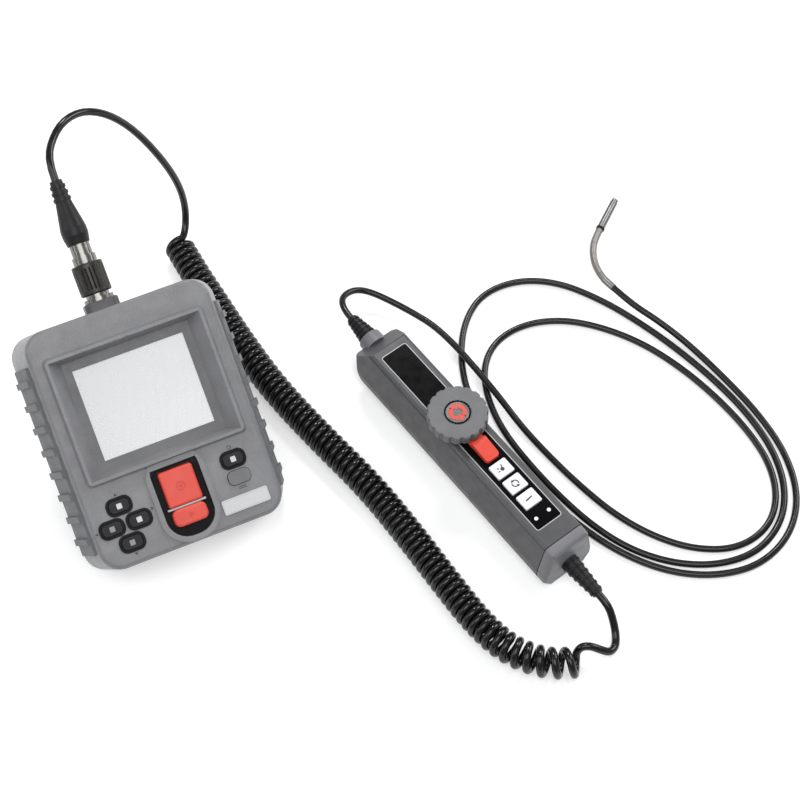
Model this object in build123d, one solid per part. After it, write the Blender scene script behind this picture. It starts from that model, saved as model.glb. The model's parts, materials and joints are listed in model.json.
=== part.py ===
from build123d import *
import math
import os

# Inspection camera: a leaning monitor, a handset lying flat, a curly cable between them and an
# articulated probe. Millimetres, +Z up, the table is z = 0.

# ---- driving dimensions: monitor case (local frame: X across, Y up the face, Z out of the screen)
LEAN = 32.0             # face plane above the table, degrees
CASE_BACK_W = 116.0     # case width at the back
CASE_FRONT_W = 103.0    # case width at the front
CASE_H = 134.0          # case height
CASE_T = 34.0           # case thickness
CASE_SPLIT = 14.0       # parting plane between the two shells
CASE_WALL = 2.4
CASE_CORNER = 12.0
CASE_EDGE = 2.5

HOOD_W = 91.0           # raised hood round the screen
HOOD_H = 73.0
HOOD_Y = 82.7           # centre height of hood and screen
HOOD_RISE = 3.0
HOOD_RIM = 1.6          # flat width of the hood's lip
BORDER_W = 73.0         # screen border plate
BORDER_H = 63.0
BORDER_T = 1.5
SCREEN_DEPTH = 9.0      # lip of the hood to the border plate
SCREEN_W = 62.4         # lit screen
SCREEN_H = 50.6
WINDOW_T = 1.0
WELL_WALL = 2.2
LCD_T = 4.5

KEY_L = 11.0            # oblong keys
KEY_W = 6.6
KEY_RIM = 1.5           # width of the black rim round an oblong key
KEY_PROUD = 1.3         # key above the face
RIM_PROUD = 0.5
KEY_GAP = 0.25          # side clearance of every key
KEY_FLANGE = 1.0        # retaining flange, each side
KEY_TRAVEL = 0.8
PAD_Y = 22.5
KEY_SPACE = 0.6          # side key's rim from the middle of the pad
KEY_STEP = 0.7           # between the rims of the pad's rows
PAD_MARGIN = 3.9         # left key's rim from the side of the face
POWER_AT = (32.5, 35.0)
MENU_AT = (32.5, 25.0)
LABEL_AT = (31.5, 11.5)
LABEL_W = 26.0
LABEL_H = 8.0
LABEL_T = 0.6

TRAY_X = 1.0            # dark recess round the red keys
TRAY_W = 27.0
TRAY_TOP = 44.0
TRAY_BOTTOM = 4.0
TRAY_DEPTH = 2.6
TRAY_FLOOR = 1.6
SURROUND = 3.0          # raised grey lip round the recess
SURROUND_RISE = 1.0
RED_W = 19.0
CAPTURE_H = 20.0
CAPTURE_Y = 31.6
PLAYBACK_H = 9.6
PLAYBACK_Y = 15.4
RED_PROUD = 3.0

GRIP_T = 1.5            # rubber side grips
GRIP_LOW = 12.0
GRIP_HIGH = 118.0
GRIP_Z0 = 3.0
GRIP_Z1 = 29.0
RIB_COUNT = 8
RIB_PITCH = 12.8
RIB_W = 3.6
RIB_OUT = 1.4

STAND_W = 58.0          # fold-out leg
STAND_T = 4.0
STAND_PIVOT_Y = 95.0
STAND_PIN_R = 1.25
STAND_GAP = 0.5
STAND_SPREAD = 68.0     # open leg above the table, degrees
PIN_CLEAR = 0.05
POCKET_WALL = 2.0

BATTERY_W = 56.0
BATTERY_H = 22.0
BATTERY_T = 12.0
BATTERY_FOOT = 3.0      # battery door above the case's lower edge
COVER_T = 1.6

SCREW_R = 1.3
SCREW_HEAD_R = 2.6
SCREW_HEAD_T = 1.8
SCREW_CLEAR = 0.05
BOSS_R = 3.6

SOCKET_X = -3.5         # connector on the top edge
SOCKET_Z = 17.0
SOCKET_BOSS_W = 19.0
SOCKET_BOSS_T = 5.0
SOCKET_R = 6.5
SOCKET_FLANGE_R = 8.2
RING_R = 8.6            # coupling ring
RING_L = 17.0
RING_START = 9.0        # ring above the top edge
PLUG_R = 5.6
PLUG_NECK = 11.0
BOOT_L = 36.0
BOOT_R = 7.2
RUN_CLEAR = 0.06

CABLE_D = 4.4           # straight cable
COIL_D = 17.6           # outer diameter of the coiled cable
COIL_REST = 0.2         # coil above the table

# ---- driving dimensions: handset (local frame: X along towards the cable, Y across, Z up)
HANDSET_TURN = -75.5
HAND_UNDER_W = 24.0
HAND_WIDE_W = 33.0
HAND_TOP_W = 25.0
HAND_WIDE_Z = 9.0
HAND_H = 34.0
HAND_WALL = 2.2
NOSE_ROUND = 9.0        # corner radius of the nose seen from above
HAND_NOSE = -76.0
HAND_SEAM = 90.0
HAND_END = 97.0
PANEL_FROM = -57.0
PANEL_TO = 79.0
PANEL_W = 16.4
PANEL_T = 1.0

WHEEL_R = 17.0
WHEEL_T = 6.6
WHEEL_LIFT = 3.0         # wheel above the cover
WHEEL_NOTCHES = 18
NOTCH_R = 1.5
EMBLEM_R = 7.8
EMBLEM_T = 0.8
SHAFT_R = 2.5
BUSH_R = 4.0
BUSH_FLANGE_R = 6.2
PULLEY_R = 9.0
PULLEY_T = 5.0
PULLEY_DROP = 16.0       # pulley below the top of the cover
WIRE_D = 0.6
LEVER_REACH = 31.6
LEVER_W = 9.0
LEVER_T = 1.6
LEVER_PAD = 4.2
LEVER_GAP = 0.5

WHITE_L = 9.4
WHITE_W = 11.0
WHITE_PITCH = 11.6
WHITE_FIRST = 38.4
WHITE_PROUD = 1.2
BOARD_T = 1.6            # circuit boards
HAND_BOARD_DEPTH = 7.4   # handset's board below the top of the cover
LIGHT_X = 73.0
LIGHT_SPREAD = 4.4
LIGHT_R = 1.1

GLAND_DROP = 15.0        # probe outlet in the nose, below the top of the cover
GLAND_R = 7.0
GLAND_L = 5.0
PROBE_RELIEF_L = 16.0
PROBE_RELIEF_R = 5.4
OUTLET_Z = 15.0         # cable outlet in the end cap
CORD_RELIEF_L = 24.0
CORD_RELIEF_R = 5.2

# ---- driving dimensions: probe
PROBE_D = 3.9
FERRULE_D = 4.4
FERRULE_L = 8.0
TIP_Z = 7.2
LINKS = 5
LINK_L = 7.4
LINK_D = 4.0
LINK_HALF = 15.8        # bevel of each link end, degrees
LINK_GAP = 0.15
TIP_REST = -67.0        # bend of the whole section as stored
TIP_LIMIT = 150.0
HEAD_L = 24.0
HEAD_D = 4.4
LENS_L = 2.0
LENS_STEP = 0.2         # lens smaller than the head, on the radius
HEAD_RING_L = 1.6       # ring between the links and the head
HEAD_RING_RISE = 0.3

# ---- placement on the table
MONITOR_AT = (-67.7, -8.94)
HANDSET_FROM_MONITOR = (156.0, -8.2)

MONITOR = Location((MONITOR_AT[0], MONITOR_AT[1], 0), (LEAN, 0, 0))
HANDSET = Location((MONITOR_AT[0] + HANDSET_FROM_MONITOR[0],
                    MONITOR_AT[1] + HANDSET_FROM_MONITOR[1], 0), (0, 0, HANDSET_TURN))

BATTERY_Y = BATTERY_FOOT + BATTERY_H / 2
PAD_ACROSS = KEY_L / 2 + KEY_RIM + KEY_SPACE
PAD_ALONG = KEY_W + 2 * KEY_RIM + KEY_STEP
PAD_X = PAD_MARGIN + KEY_L / 2 + KEY_RIM + PAD_ACROSS - CASE_FRONT_W / 2
WHEEL_Z = HAND_H + WHEEL_LIFT
PULLEY_Z = HAND_H - PULLEY_DROP
GLAND_Z = HAND_H - GLAND_DROP

parts = {}


def world(place, x, y, z):
    """A local point of the monitor or the handset, in the part's frame."""
    return (place * Location((x, y, z))).position


def desk(x, y, z):
    """A point of a cord's route, given from the middle of the monitor's lower edge."""
    return Vector(x + MONITOR_AT[0], y + MONITOR_AT[1], z)


def cylinder_y(radius, y0, y1, x, z):
    return Pos(x, (y0 + y1) / 2, z) * Rot(90, 0, 0) * Cylinder(radius, y1 - y0)


def cylinder_x(radius, x0, x1, y, z):
    return Pos((x0 + x1) / 2, y, z) * Rot(0, 90, 0) * Cylinder(radius, x1 - x0)


def block(x0, x1, y0, y1, z0, z1):
    return Pos((x0 + x1) / 2, (y0 + y1) / 2, (z0 + z1) / 2) * Box(x1 - x0, y1 - y0, z1 - z0)


def rounded(w, h, z0, z1, radius, x=0.0, y=0.0):
    """A plate with rounded corners, from z0 to z1."""
    return Pos(x, y, z0) * extrude(RectangleRounded(w, h, radius), z1 - z0)


# ------------------------------------------------------------------ monitor case
def case_block(inset, z0, z1):
    """The case's drafted body, its walls moved in by inset (out when it is negative)."""
    slope = (CASE_BACK_W - CASE_FRONT_W) / 2 / CASE_T
    step = inset * math.sqrt(1 + slope * slope)
    half0 = CASE_BACK_W / 2 - slope * z0 - step
    half1 = CASE_BACK_W / 2 - slope * z1 - step
    high = CASE_H - 2 * inset
    corner = max(CASE_CORNER - inset, 1.0)
    low_face = Plane((0, CASE_H / 2, z0)) * RectangleRounded(2 * half0, high, corner)
    high_face = Plane((0, CASE_H / 2, z1)) * RectangleRounded(2 * half1, high, corner)
    return loft([low_face, high_face])


SCREWS_MONITOR = [(sx * (CASE_FRONT_W / 2 - 7.5), y) for sx in (-1, 1) for y in (9.0, CASE_H - 9.0)]
FRONT_INNER = CASE_T - CASE_WALL
LIP_Z = CASE_T + HOOD_RISE
BORDER_Z = LIP_Z - SCREEN_DEPTH

pocket_z = STAND_T + 2 * STAND_GAP + 0.6
pin_z = pocket_z - STAND_GAP - STAND_T / 2
pivot_height = STAND_PIVOT_Y * math.sin(math.radians(LEAN)) + pin_z * math.cos(math.radians(LEAN))
stand_len = (pivot_height - STAND_T / 2) / math.sin(math.radians(STAND_SPREAD))
STAND_TURN = 180.0 - LEAN - STAND_SPREAD
pocket_top = STAND_PIVOT_Y + STAND_T / 2 + STAND_GAP
pocket_low = STAND_PIVOT_Y - stand_len - STAND_T / 2 - STAND_GAP - 6.0
pocket_w = STAND_W + 2 * STAND_GAP

# back shell: open box with the stand's pocket, the battery door and four screw posts
back = case_block(0, 0, CASE_SPLIT) - case_block(CASE_WALL, CASE_WALL, CASE_SPLIT + 1)
pocket_skin = block(-pocket_w / 2 - POCKET_WALL, pocket_w / 2 + POCKET_WALL, pocket_low - POCKET_WALL,
                    pocket_top + POCKET_WALL, 0.5, pocket_z + POCKET_WALL)
back += pocket_skin
back -= block(-pocket_w / 2, pocket_w / 2, pocket_low, pocket_top, -1, pocket_z)
pin_half = pocket_w / 2 + POCKET_WALL - 0.4
back -= cylinder_x(STAND_PIN_R, -pin_half, pin_half, STAND_PIVOT_Y, pin_z)
back -= rounded(BATTERY_W, BATTERY_H, -1, CASE_WALL + 1, 2, 0, BATTERY_Y)
for x, y in SCREWS_MONITOR:
    back += Pos(x, y, CASE_SPLIT / 2 + 0.5) * Cylinder(BOSS_R, CASE_SPLIT - 1)
    back -= Pos(x, y, CASE_SPLIT / 2) * Cylinder(SCREW_R + SCREW_CLEAR, CASE_SPLIT + 2)
    back -= Pos(x, y, SCREW_HEAD_T / 2) * Cylinder(SCREW_HEAD_R + SCREW_CLEAR, SCREW_HEAD_T + 0.002)
socket_hole = cylinder_y(SOCKET_R + SCREW_CLEAR, CASE_H - CASE_WALL - 4, CASE_H + 1, SOCKET_X, SOCKET_Z)
back -= socket_hole
parts["monitor_back_shell"] = (MONITOR, back)

# front shell: open box with hood, sloped screen well, key openings and screw posts
front = case_block(0, CASE_SPLIT, CASE_T)
front = fillet([e for e in front.edges().group_by(Axis.Z)[-1]], CASE_EDGE)
hood_face = Plane((0, HOOD_Y, CASE_T - 0.5)) * RectangleRounded(HOOD_W, HOOD_H, 3)
hood_top = Plane((0, HOOD_Y, LIP_Z)) * RectangleRounded(HOOD_W - 3, HOOD_H - 3, 2.5)
front += loft([hood_face, hood_top])
tray_mid = (TRAY_TOP + TRAY_BOTTOM) / 2
tray_h = TRAY_TOP - TRAY_BOTTOM
tray_r = TRAY_W / 2 - 1.5
lip_w = TRAY_W + 2 * SURROUND
lip_low = TRAY_BOTTOM - SURROUND
lip = rounded(lip_w, TRAY_TOP + 8 - lip_low, CASE_T - 1, CASE_T + SURROUND_RISE, tray_r + SURROUND,
              TRAY_X, (TRAY_TOP + 8 + lip_low) / 2)
front += lip & block(-lip_w, lip_w, lip_low - 1, HOOD_Y - HOOD_H / 2 + 1, 0, CASE_T + 5)
front -= case_block(CASE_WALL, CASE_SPLIT - 1, FRONT_INNER)
well_w = BORDER_W + 2 * WELL_WALL
well_h = BORDER_H + 2 * WELL_WALL
well_low = BORDER_Z - BORDER_T - WINDOW_T - 1.0
front += block(-well_w / 2, well_w / 2, HOOD_Y - well_h / 2, HOOD_Y + well_h / 2, well_low, FRONT_INNER + 0.5)
slope_low = Plane((0, HOOD_Y, BORDER_Z)) * Rectangle(BORDER_W - 1.6, BORDER_H - 1.6)
slope_top = Plane((0, HOOD_Y, LIP_Z + 0.01)) * Rectangle(HOOD_W - 3 - 2 * HOOD_RIM, HOOD_H - 3 - 2 * HOOD_RIM)
front -= loft([slope_low, slope_top])
front -= block(-BORDER_W / 2, BORDER_W / 2, HOOD_Y - BORDER_H / 2, HOOD_Y + BORDER_H / 2, well_low - 1, BORDER_Z)
front -= cylinder_y(SOCKET_R + SCREW_CLEAR, CASE_H - CASE_WALL - 4, CASE_H + 1, SOCKET_X, SOCKET_Z)
front -= Pos(1.5, HOOD_Y + HOOD_H / 2 - 3.2, LIP_Z) * Cylinder(0.5, 3)

pad_keys = {
    "key_up": (PAD_X, PAD_Y + PAD_ALONG),
    "key_right": (PAD_X + PAD_ACROSS, PAD_Y),
    "key_down": (PAD_X, PAD_Y - PAD_ALONG),
    "key_left": (PAD_X - PAD_ACROSS, PAD_Y),
}
rimmed = dict(pad_keys)
rimmed["power_key"] = POWER_AT
rim_w = KEY_L + 2 * KEY_GAP + 2 * KEY_RIM
rim_h = KEY_W + 2 * KEY_GAP + 2 * KEY_RIM
rims = []
for x, y in rimmed.values():
    front -= rounded(rim_w, rim_h, FRONT_INNER - 1, CASE_T + 1, rim_h / 2 - 0.8, x, y)
    ring = rounded(rim_w, rim_h, FRONT_INNER, CASE_T + RIM_PROUD, rim_h / 2 - 0.8, x, y)
    ring -= rounded(KEY_L + 2 * KEY_GAP, KEY_W + 2 * KEY_GAP, FRONT_INNER - 1, CASE_T + 2,
                    KEY_W / 2 - 0.6, x, y)
    rims.append(ring)
menu_w = KEY_L + 1.5
menu_h = KEY_W + 1.0
front -= rounded(menu_w + 2 * KEY_GAP, menu_h + 2 * KEY_GAP, FRONT_INNER - 1, CASE_T + 1,
                 menu_h / 2 - 0.6, *MENU_AT)
tray_cut = rounded(TRAY_W, tray_h + 8, FRONT_INNER - 1, CASE_T + 3, tray_r, TRAY_X, tray_mid + 4)
front -= tray_cut & block(-TRAY_W, TRAY_W, 0, TRAY_TOP, 0, CASE_T + 5)
for x, y in SCREWS_MONITOR:
    post = Pos(x, y, (CASE_SPLIT + FRONT_INNER) / 2 + 0.2) * Cylinder(BOSS_R, FRONT_INNER - CASE_SPLIT + 0.4)
    front += post
    front -= Pos(x, y, CASE_SPLIT + 5) * Cylinder(SCREW_R + SCREW_CLEAR, 10.002)
parts["monitor_front_shell"] = (MONITOR, front)

# rubber grips on both flanks
skin = case_block(-GRIP_T, GRIP_Z0, GRIP_Z1) - case_block(0, GRIP_Z0 - 1, GRIP_Z1 + 1)
ribs = case_block(-GRIP_T - RIB_OUT, GRIP_Z0, GRIP_Z1) - case_block(0, GRIP_Z0 - 1, GRIP_Z1 + 1)
rib_mid = (GRIP_LOW + GRIP_HIGH) / 2
grips = []
for side in (-1, 1):
    x0 = min(side * CASE_FRONT_W / 4, side * CASE_BACK_W)
    x1 = max(side * CASE_FRONT_W / 4, side * CASE_BACK_W)
    grip = skin & block(x0, x1, GRIP_LOW, GRIP_HIGH, 0, CASE_T)
    for i in range(RIB_COUNT):
        y = rib_mid + (i - (RIB_COUNT - 1) / 2) * RIB_PITCH
        grip += ribs & block(x0, x1, y - RIB_W / 2, y + RIB_W / 2, 0, CASE_T)
    grips.append(grip)
parts["side_grips"] = (MONITOR, Compound(children=grips))

# screen stack
fit = 0.1
border = block(-BORDER_W / 2 + fit, BORDER_W / 2 - fit, HOOD_Y - BORDER_H / 2 + fit,
               HOOD_Y + BORDER_H / 2 - fit, BORDER_Z - BORDER_T, BORDER_Z)
border -= block(-SCREEN_W / 2, SCREEN_W / 2, HOOD_Y - SCREEN_H / 2, HOOD_Y + SCREEN_H / 2,
                BORDER_Z - BORDER_T - 1, BORDER_Z + 1)
parts["screen_bezel"] = (MONITOR, border)
window_z = BORDER_Z - BORDER_T - WINDOW_T
window = block(-SCREEN_W / 2 - 3, SCREEN_W / 2 + 3, HOOD_Y - SCREEN_H / 2 - 3, HOOD_Y + SCREEN_H / 2 + 3,
               window_z, window_z + WINDOW_T)
parts["screen_window"] = (MONITOR, window)
lcd = block(-SCREEN_W / 2 - 4, SCREEN_W / 2 + 4, HOOD_Y - SCREEN_H / 2 - 4, HOOD_Y + SCREEN_H / 2 + 4,
            window_z - LCD_T, window_z)
parts["lcd_panel"] = (MONITOR, lcd)
board_z = window_z - LCD_T - BOARD_T
board = block(-40, 40, 46, 122, board_z, board_z + BOARD_T)
parts["main_board"] = (MONITOR, board)

# keys: each one has a retaining flange under the wall or rim, and stands on the rubber mat
flange_z = FRONT_INNER - 0.9
mat_top = flange_z - KEY_TRAVEL - 0.1


def oblong_key(w, h, x, y, top):
    body = rounded(w, h, flange_z, top, h / 2 - 0.8, x, y)
    body = fillet(body.edges().group_by(Axis.Z)[-1], 0.4)
    return body + rounded(w + 2 * KEY_FLANGE, h + 2 * KEY_FLANGE, flange_z, flange_z + 0.6, h / 2, x, y)


for name, (x, y) in rimmed.items():
    parts[name] = (MONITOR, oblong_key(KEY_L, KEY_W, x, y, CASE_T + KEY_PROUD))
parts["menu_key"] = (MONITOR, oblong_key(menu_w, menu_h, MENU_AT[0], MENU_AT[1], CASE_T + KEY_PROUD))
parts["key_rims"] = (MONITOR, Compound(children=rims))

tray_z = FRONT_INNER - TRAY_FLOOR
tray_plate = rounded(TRAY_W + 3, tray_h + 3, tray_z, FRONT_INNER, tray_r + 1.5, TRAY_X, tray_mid)
red_flange = tray_z - 0.9
red_keys = {
    "capture_key": (RED_W, CAPTURE_H, CAPTURE_Y, 1.6),
    "playback_key": (RED_W, PLAYBACK_H, PLAYBACK_Y, 3.4),
}
for name, (w, h, y, radius) in red_keys.items():
    tray_plate -= rounded(w + 2 * KEY_GAP, h + 2 * KEY_GAP, tray_z - 1, FRONT_INNER + 1, radius, TRAY_X, y)
    key = rounded(w, h, red_flange, CASE_T + RED_PROUD, radius, TRAY_X, y)
    key = fillet(key.edges().group_by(Axis.Z)[-1], 1.2)
    key += rounded(w + KEY_FLANGE, h + KEY_FLANGE, red_flange, red_flange + 0.6, radius + 0.3, TRAY_X, y)
    parts[name] = (MONITOR, key)
parts["key_tray"] = (MONITOR, tray_plate)
mat_z = red_flange - KEY_TRAVEL - 0.1 - 1.0
mat = rounded(94, 40, mat_z, mat_z + 1.0, 3, 0, 23.5)
for x, y in SCREWS_MONITOR:
    mat -= Pos(x, y, mat_z) * Cylinder(BOSS_R + 0.5, 4)
domes = list(rimmed.values()) + [MENU_AT]
for x, y in domes:
    mat += Pos(x, y, (mat_z + mat_top) / 2 + 0.3) * Cylinder(2.0, mat_top - mat_z - 0.6)
parts["key_mat"] = (MONITOR, mat)

label = rounded(LABEL_W, LABEL_H, CASE_T, CASE_T + LABEL_T, 1.0, *LABEL_AT)
parts["label_plate"] = (MONITOR, label)

# battery behind its door
parts["battery_cover"] = (MONITOR, rounded(BATTERY_W - 0.4, BATTERY_H - 0.4, 0.2, 0.2 + COVER_T, 1.9, 0, BATTERY_Y))
battery_z = CASE_WALL + 1.2
parts["battery_pack"] = (MONITOR, rounded(BATTERY_W - 2, BATTERY_H - 2, battery_z, battery_z + BATTERY_T, 1.5,
                                          0, BATTERY_Y))

# fold-out stand: a leg on a pin in the back pocket, drawn open with its foot on the table
leg = block(-STAND_W / 2, STAND_W / 2, -stand_len, 0, -STAND_T / 2, STAND_T / 2)
leg += cylinder_x(STAND_T / 2, -STAND_W / 2, STAND_W / 2, 0, 0)
leg += cylinder_x(STAND_T / 2, -STAND_W / 2, STAND_W / 2, -stand_len, 0)
leg -= cylinder_x(STAND_PIN_R + PIN_CLEAR, -STAND_W, STAND_W, 0, 0)
leg = Pos(0, STAND_PIVOT_Y, pin_z) * Rot(STAND_TURN, 0, 0) * leg
parts["stand_leg"] = (MONITOR, leg)
parts["stand_pin"] = (MONITOR, cylinder_x(STAND_PIN_R, -pin_half, pin_half, STAND_PIVOT_Y, pin_z))

# connector on the top edge
boss = rounded(SOCKET_BOSS_W, SOCKET_BOSS_W, 0, SOCKET_BOSS_T, 4.0)
boss = fillet(boss.edges().group_by(Axis.Z)[-1], 1.2) - Cylinder(SOCKET_R + SCREW_CLEAR, 40)
upright = Location((SOCKET_X, CASE_H, SOCKET_Z), (-90, 0, 0))
parts["socket_boss"] = (MONITOR, upright * boss)
socket_top = RING_START + RING_L * 0.55
socket = Pos(0, 0, (socket_top - CASE_WALL - 3) / 2) * Cylinder(SOCKET_R, socket_top + CASE_WALL + 3)
socket += Pos(0, 0, SOCKET_BOSS_T + 1.0) * Cylinder(SOCKET_FLANGE_R, 2.0)
socket -= Pos(0, 0, socket_top) * Cylinder(PLUG_R - 1.2, 14)
parts["panel_socket"] = (MONITOR, upright * socket)
ring_end = RING_START + RING_L
ring = Pos(0, 0, (RING_START + ring_end) / 2) * Cylinder(RING_R, RING_L)
ring = chamfer(ring.edges(), 0.6)
ring -= Pos(0, 0, RING_START - 1 + (socket_top + 1.3 - RING_START) / 2) * Cylinder(
    SOCKET_R + RUN_CLEAR, socket_top + 1.3 - RING_START + 2)
ring -= Cylinder(PLUG_R + RUN_CLEAR, 4 * ring_end)
for i in range(24):
    knurl = Box(0.7, 0.7, RING_L - 5)
    ring -= Rot(0, 0, i * 15) * Pos(RING_R, 0, (RING_START + ring_end) / 2) * Rot(0, 0, 45) * knurl
parts["coupling_ring"] = (MONITOR, upright * ring)
plug_start = socket_top + 0.1
plug_end = ring_end + PLUG_NECK
plug = Pos(0, 0, (plug_start + plug_end) / 2) * Cylinder(PLUG_R, plug_end - plug_start)
plug += Pos(0, 0, ring_end + 0.4 + 2.0) * Cylinder(PLUG_R + 1.0, 4.0)
parts["plug_body"] = (MONITOR, upright * plug)
boot_profile = [(0, plug_end), (PLUG_R + 0.6, plug_end), (BOOT_R, plug_end + 5), (BOOT_R, plug_end + 9),
                (4.4, plug_end + 24), (3.4, plug_end + BOOT_L), (0, plug_end + BOOT_L)]
boot = revolve(Plane.XZ * make_face(Polyline(*boot_profile, close=True)), Axis.Z)
for z in (25.5, 29.0, 32.5):
    boot += Pos(0, 0, plug_end + z) * Cylinder(4.9 - (z - 25.5) * 0.08, 1.8)
parts["plug_boot"] = (MONITOR, upright * boot)
boot_end = plug_end + BOOT_L

# ------------------------------------------------------------------ handset
def hand_section(inset):
    """Cross-section of the handset, walls moved in by inset."""
    points = [(-HAND_UNDER_W / 2, 0), (-HAND_WIDE_W / 2, HAND_WIDE_Z - 2), (-HAND_WIDE_W / 2, HAND_WIDE_Z + 3),
              (-HAND_TOP_W / 2, HAND_H), (HAND_TOP_W / 2, HAND_H), (HAND_WIDE_W / 2, HAND_WIDE_Z + 3),
              (HAND_WIDE_W / 2, HAND_WIDE_Z - 2), (HAND_UNDER_W / 2, 0)]
    face = make_face(Polyline(*points, close=True))
    if inset:
        face = offset(face, -inset, kind=Kind.INTERSECTION)
    face = fillet(face.vertices(), 2.6 if inset == 0 else 1.0)
    return face


def hand_side(inset):
    """Side outline of the handset: a boat-shaped nose and a square end."""
    points = [(-56 + inset, inset), (-73 + inset, 13 + inset), (HAND_NOSE + inset, 20),
              (-62 + inset, HAND_H - inset), (HAND_SEAM, HAND_H - inset), (HAND_SEAM, inset)]
    face = make_face(Polyline(*points, close=True))
    nose = [v for v in face.vertices() if v.X < -50]
    return fillet(nose, 3.0)


def hand_body(inset):
    run = HAND_END - HAND_NOSE + 20
    bar = Pos(HAND_NOSE - 10, 0, 0) * extrude(Plane.YZ * hand_section(inset), run)
    cut = extrude(Plane.XZ * hand_side(inset), HAND_WIDE_W, both=True)
    plan_w = HAND_WIDE_W - 2 * inset
    plan = rounded(2 * run, plan_w, -1, HAND_H + 1, NOSE_ROUND, HAND_NOSE + inset + run)
    return bar & cut & plan


HAND_SPLIT = HAND_WIDE_Z + 1
SCREWS_HAND = [(x, sy * 8.5) for x in (-50.0, 82.0) for sy in (-1, 1)]
hull = hand_body(0)
hollow = hand_body(HAND_WALL) & block(HAND_NOSE - 5, HAND_SEAM - 3.0, -30, 30, -5, 60)
case = hull - hollow
tray = case & block(-100, 100, -30, 30, -1, HAND_SPLIT)
cover = case & block(-100, 100, -30, 30, HAND_SPLIT, HAND_H + 1)
panel_z = HAND_H - PANEL_T
cover -= rounded(PANEL_TO - PANEL_FROM, PANEL_W, panel_z, HAND_H + 1, 1.2, (PANEL_FROM + PANEL_TO) / 2)
bush_hole = Pos(0, 0, HAND_H) * Cylinder(BUSH_R, 30)
cover -= bush_hole
white_x = [WHITE_FIRST + i * WHITE_PITCH for i in range(3)]
panel = rounded(PANEL_TO - PANEL_FROM, PANEL_W, panel_z, HAND_H, 1.2, (PANEL_FROM + PANEL_TO) / 2) - bush_hole
for x in white_x:
    opening = rounded(WHITE_L + 2 * KEY_GAP, WHITE_W + 2 * KEY_GAP, HAND_H - 8, HAND_H + 2, 0.8, x)
    panel -= opening
    cover -= opening
cover_inner = HAND_H - HAND_WALL
for sy in (-1, 1):
    hole = Pos(LIGHT_X, sy * LIGHT_SPREAD, HAND_H) * Cylinder(LIGHT_R, 12)
    panel -= hole
    cover -= hole
for x, y in SCREWS_HAND:
    tray += Pos(x, y, HAND_SPLIT / 2 + 0.5) * Cylinder(BOSS_R, HAND_SPLIT - 1)
    tray -= Pos(x, y, HAND_SPLIT / 2) * Cylinder(SCREW_R + SCREW_CLEAR, HAND_SPLIT + 2)
    tray -= Pos(x, y, SCREW_HEAD_T / 2) * Cylinder(SCREW_HEAD_R + SCREW_CLEAR, SCREW_HEAD_T + 0.002)
    cover += Pos(x, y, (HAND_SPLIT + cover_inner) / 2 + 0.3) * Cylinder(BOSS_R, cover_inner - HAND_SPLIT + 0.6)
    cover -= Pos(x, y, HAND_SPLIT + 5) * Cylinder(SCREW_R + SCREW_CLEAR, 10.002)
gland_hole = cylinder_x(PROBE_D / 2 + 0.3, HAND_NOSE - 5, HAND_NOSE + 20, 0, GLAND_Z)
cover -= gland_hole
parts["handset_tray"] = (HANDSET, tray)
parts["handset_cover"] = (HANDSET, cover)
parts["top_panel"] = (HANDSET, panel)

cap_bar = Pos(HAND_SEAM, 0, 0) * extrude(Plane.YZ * hand_section(0), HAND_END - HAND_SEAM)
cap = fillet(cap_bar.edges().group_by(Axis.X)[-1], 2.2)
cap -= cylinder_x(CABLE_D / 2, HAND_SEAM - 1, HAND_END + 1, 0, OUTLET_Z)
parts["handset_end_cap"] = (HANDSET, cap)
hand_board_z = HAND_H - HAND_BOARD_DEPTH - BOARD_T
parts["handset_board"] = (HANDSET, block(28, HAND_SEAM - 6, -6.5, 6.5, hand_board_z, hand_board_z + BOARD_T) -
                          Pos(82, 0, 25) * Box(12, 30, 8))


def relief(length, radius, small, ribs_n):
    """Tapered strain relief along +Z, ringed by raised ribs, moulded round its cord."""
    shape = revolve(Plane.XZ * make_face(Polyline((0, 0), (radius, 0), (small, length), (0, length), close=True)),
                    Axis.Z)
    for i in range(ribs_n):
        z = 2.0 + i * (length - 4.0) / (ribs_n - 1)
        r = radius + (small - radius) * z / length
        shape += Pos(0, 0, z) * Cylinder(r + 0.5, 1.2)
    return shape


nose_face = HAND_NOSE + 1.0
gland = cylinder_x(GLAND_R, nose_face - GLAND_L, nose_face + 2.5, 0, GLAND_Z)
gland = fillet(gland.edges().group_by(Axis.X)[0], 1.2)
gland -= hull
parts["nose_gland"] = (HANDSET, gland)
relief_at = nose_face - GLAND_L
probe_relief = relief(PROBE_RELIEF_L, PROBE_RELIEF_R, 3.0, 5)
parts["probe_relief"] = (HANDSET, Location((relief_at, 0, GLAND_Z), (0, -90, 0)) * probe_relief)
cord_relief = relief(CORD_RELIEF_L, CORD_RELIEF_R, 3.2, 6)
parts["cord_relief"] = (HANDSET, Location((HAND_END, 0, OUTLET_Z), (0, 90, 0)) * cord_relief)

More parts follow.
